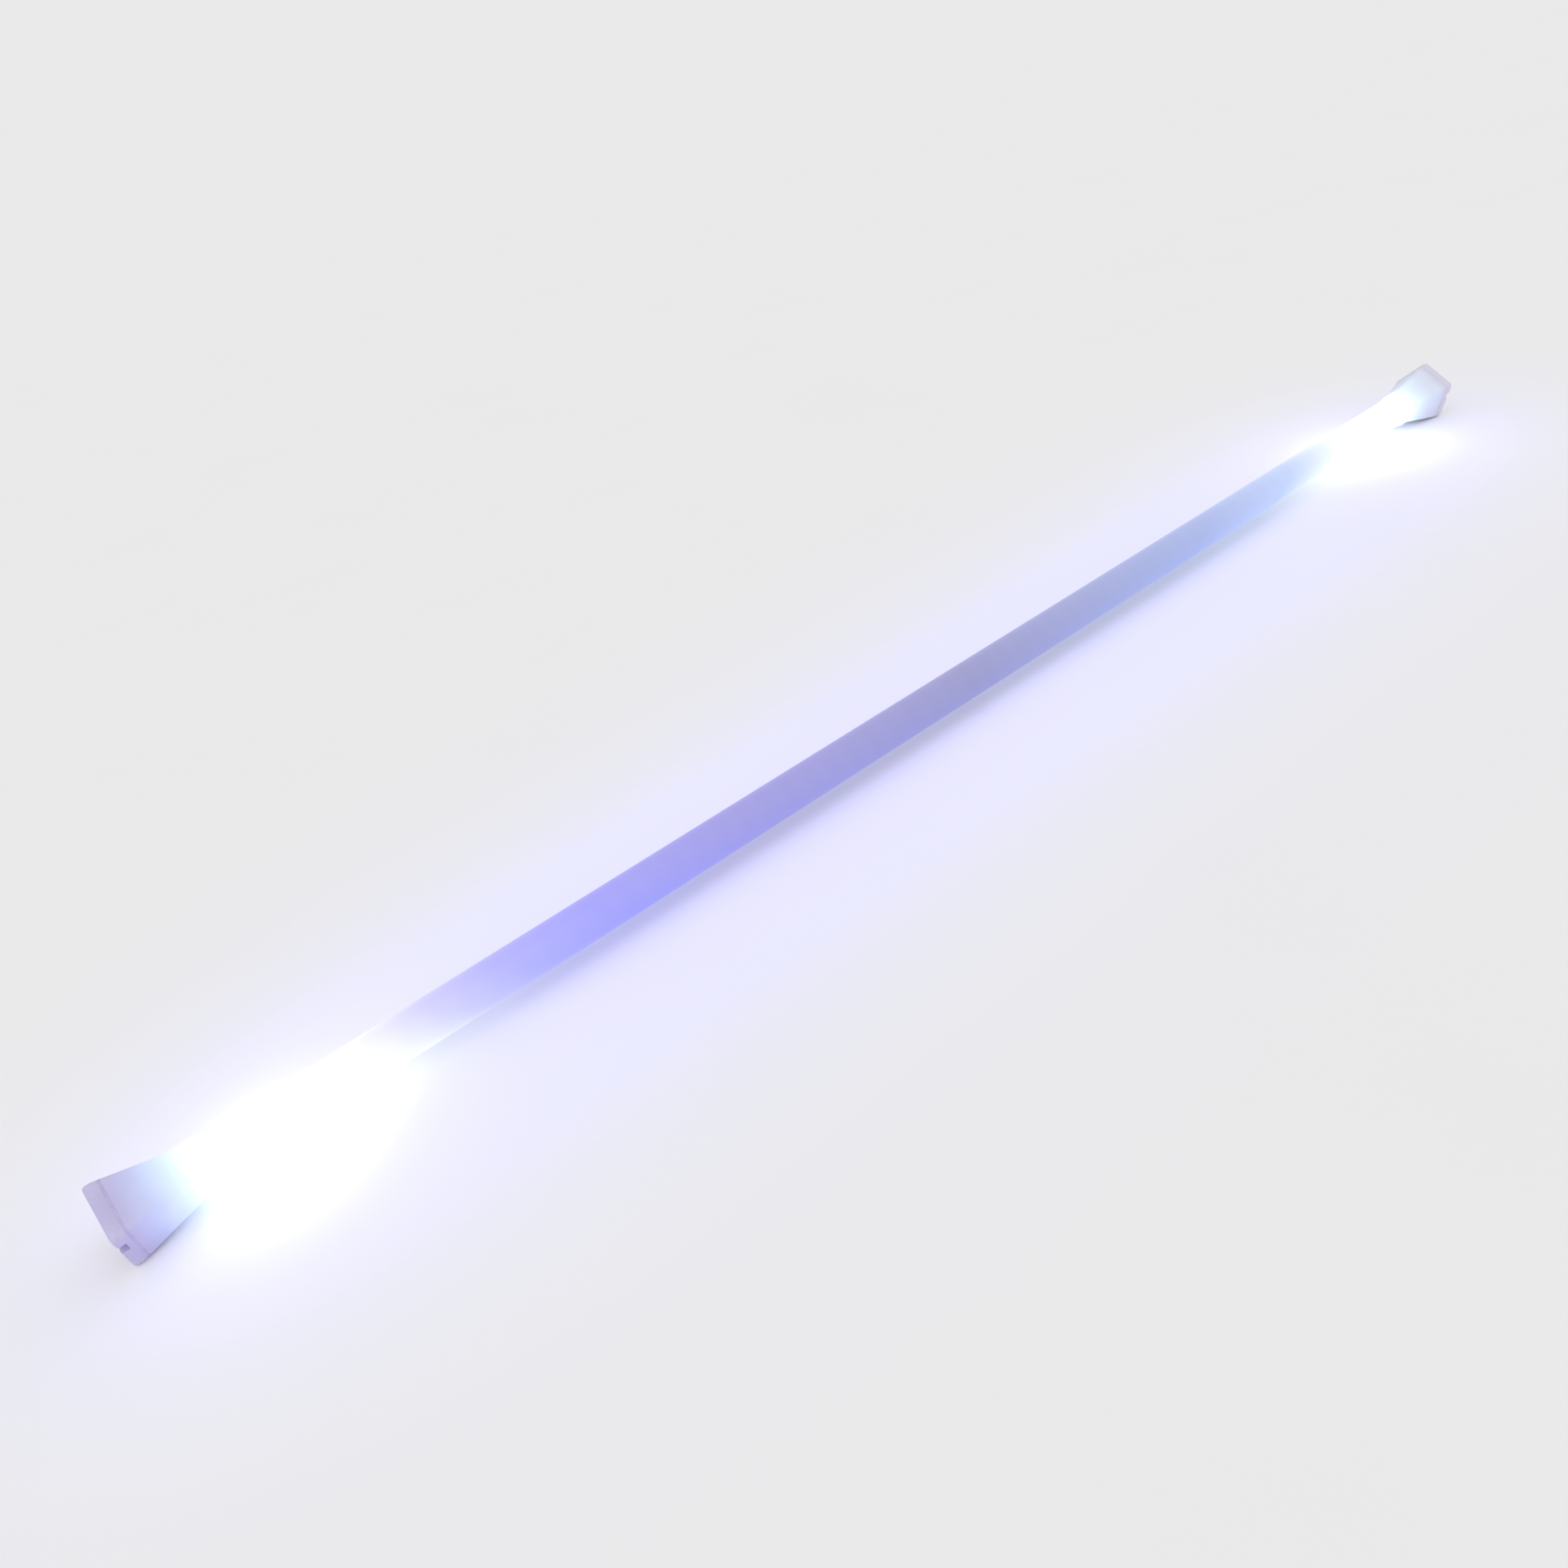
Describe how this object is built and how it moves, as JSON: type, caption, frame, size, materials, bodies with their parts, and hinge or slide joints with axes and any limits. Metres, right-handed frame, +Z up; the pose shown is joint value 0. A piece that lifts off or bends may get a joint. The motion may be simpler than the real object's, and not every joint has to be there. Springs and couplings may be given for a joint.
{
  "type": "led light tube",
  "caption": "Slim battery-powered LED light tube: frosted round diffuser glowing between two flared five-sided end caps, with push buttons and tripod inserts.",
  "frame": {"origin": "on the surface the lamp lies on, under the middle of its box", "axes": "+X along the tube from the control end to the turning end, +Z up, with the lamp lying on one flat of each end cap and its LEDs facing -Y and a little up"},
  "size_m": [1.2, 0.0484, 0.0465],
  "materials": {
    "diffuser": "satin frosted polycarbonate, periwinkle where it glows dimly, white at both ends",
    "cap_shell": "pale lavender moulded plastic, fine satin texture",
    "end_cover": "pale lavender moulded plastic, satin",
    "dark_rubber": "matt rubber",
    "flap_rubber": "matt soft-touch rubber",
    "button_plastic": "satin plastic",
    "clear_plastic": "polished clear plastic",
    "brass": "turned and knurled brass",
    "screw_steel": "turned steel",
    "port_steel": "drawn steel",
    "rail_aluminium": "extruded aluminium",
    "led_board": "white solder mask",
    "green_board": "green solder mask",
    "cell_sleeve": "metal can in a glossy shrink sleeve",
    "black_plastic": "moulded plastic",
    "red_wire": "silicone insulation",
    "black_wire": "silicone insulation"
  },
  "bodies": {
    "lamp": {"cap_shell_near": "cap_shell", "end_cover_near": "end_cover", "cover_gasket_near": "dark_rubber", "tube_seal_near": "dark_rubber", "thread_insert_near": "brass", "rail_bulkhead_near": "black_plastic", "cover_screw_near_1": "screw_steel", "cover_screw_near_2": "screw_steel", "cover_screw_near_3": "screw_steel", "cover_screw_near_4": "screw_steel", "cover_screw_near_5": "screw_steel", "rail_bulkhead_far": "black_plastic", "power_switch": "black_plastic", "brighter_switch": "black_plastic", "dimmer_switch": "black_plastic", "battery_light_pipe": "clear_plastic", "signal_light_pipe": "clear_plastic", "control_board": "green_board", "charging_port": "port_steel", "diffuser_tube": "diffuser", "led_rail": "rail_aluminium", "led_board_1": "led_board", "led_board_2": "led_board", "led_board_3": "led_board", "led_board_4": "led_board", "battery_cell_near_1": "cell_sleeve", "battery_cell_near_2": "cell_sleeve", "battery_cell_near_3": "cell_sleeve", "battery_cell_near_4": "cell_sleeve", "battery_cell_far_1": "cell_sleeve", "battery_cell_far_2": "cell_sleeve", "battery_cell_far_3": "cell_sleeve", "battery_cell_far_4": "cell_sleeve", "pack_plate_near_outer": "black_plastic", "pack_plate_near_inner": "black_plastic", "pack_plate_far_inner": "black_plastic", "pack_plate_far_outer": "black_plastic", "driver_board": "green_board", "positive_lead": "red_wire", "negative_lead": "black_wire"},
    "far_cap": {"cap_shell_far": "cap_shell", "end_cover_far": "end_cover", "cover_gasket_far": "dark_rubber", "tube_seal_far": "dark_rubber", "thread_insert_far": "brass", "cover_screw_far_1": "screw_steel", "cover_screw_far_2": "screw_steel", "cover_screw_far_3": "screw_steel", "cover_screw_far_4": "screw_steel", "cover_screw_far_5": "screw_steel"},
    "power_button": {"power_button": "button_plastic"},
    "brighter_button": {"brighter_button": "button_plastic"},
    "dimmer_button": {"dimmer_button": "button_plastic"},
    "port_flap": {"port_flap": "flap_rubber"}
  },
  "joints": [
    {"name": "far_cap_turn", "type": "hinge", "parent": "lamp", "child": "far_cap", "pos_m": [0.574, 0, 0.0212], "axis": [1, 0, 0], "continuous": true},
    {"name": "power_press", "type": "slide", "parent": "lamp", "child": "power_button", "axis": [1, 0, 0], "range_m": [0, 0.001], "stiffness_N_per_m": 1500, "springref_m": -0.0006},
    {"name": "brighter_press", "type": "slide", "parent": "lamp", "child": "brighter_button", "axis": [1, 0, 0], "range_m": [0, 0.001], "stiffness_N_per_m": 1500, "springref_m": -0.0006},
    {"name": "dimmer_press", "type": "slide", "parent": "lamp", "child": "dimmer_button", "axis": [1, 0, 0], "range_m": [0, 0.001], "stiffness_N_per_m": 1500, "springref_m": -0.0006},
    {"name": "port_flap_hinge", "type": "hinge", "parent": "lamp", "child": "port_flap", "pos_m": [-0.59948, 0.01232, 0.0172], "axis": [0, -0.309, -0.9511], "range_deg": [0, 110]}
  ]
}
